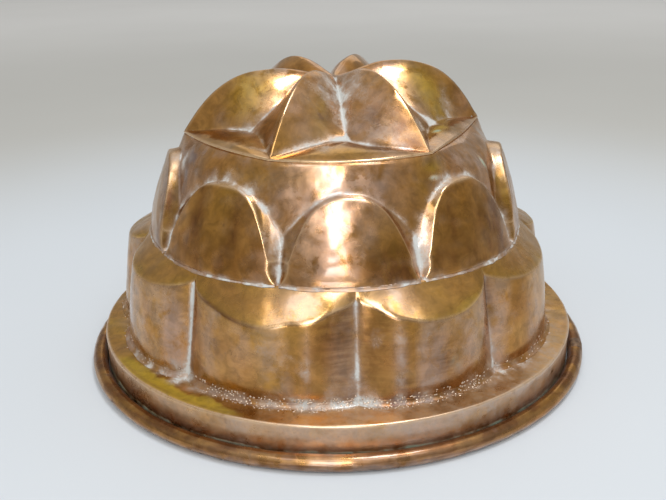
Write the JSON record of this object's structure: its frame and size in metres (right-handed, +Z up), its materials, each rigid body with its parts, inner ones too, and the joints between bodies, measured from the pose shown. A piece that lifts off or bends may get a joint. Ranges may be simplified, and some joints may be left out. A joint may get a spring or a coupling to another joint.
{
  "type": "cake mould",
  "caption": "Upturned copper cake mould in tiers, tinned inside: ribbed crown, flared drum with raised round arches, lobed drum, flat collar, rolled wired rim.",
  "frame": {"origin": "on the floor under the middle of the mould, in the plane its rolled rim stands on", "axes": "+Z up along the mould's axis, from its open mouth to its crown; -Y towards the viewer of the picture; +X to the viewer's right"},
  "size_m": [0.26, 0.26, 0.1483],
  "materials": {
    "crown_copper": "old copper, polished and tarnished again, with white polish left in the corners",
    "crown_tin": "dull wiped tin",
    "crown_solder": "dull solder",
    "arch_copper": "old copper, polished and tarnished again, with white polish left in the corners",
    "arch_tin": "dull wiped tin",
    "arch_solder": "dull solder under white polish",
    "lobe_copper": "old copper, polished and tarnished again, with white polish left in the corners",
    "lobe_tin": "dull wiped tin",
    "lobe_solder": "dull solder, punched",
    "collar_copper": "old copper, polished and tarnished again, with white polish left in the corners and dark oxide low on the band",
    "collar_tin": "dull wiped tin",
    "rim_copper": "old polished copper, dark in the groove",
    "rim_iron": "dark iron wire",
    "joint_solder": "dark rough solder"
  },
  "bodies": {
    "root": {"crown_cap": "crown_copper", "crown_lining": "crown_tin", "crown_seam": "crown_solder", "arch_drum": "arch_copper", "arch_lining": "arch_tin", "arch_seam": "arch_solder", "lobed_drum": "lobe_copper", "lobe_lining": "lobe_tin", "lobe_seam": "lobe_solder", "base_collar": "collar_copper", "collar_lining": "collar_tin", "rim_bead": "rim_copper", "rim_wire": "rim_iron", "rim_joint": "joint_solder"}
  },
  "joints": []
}
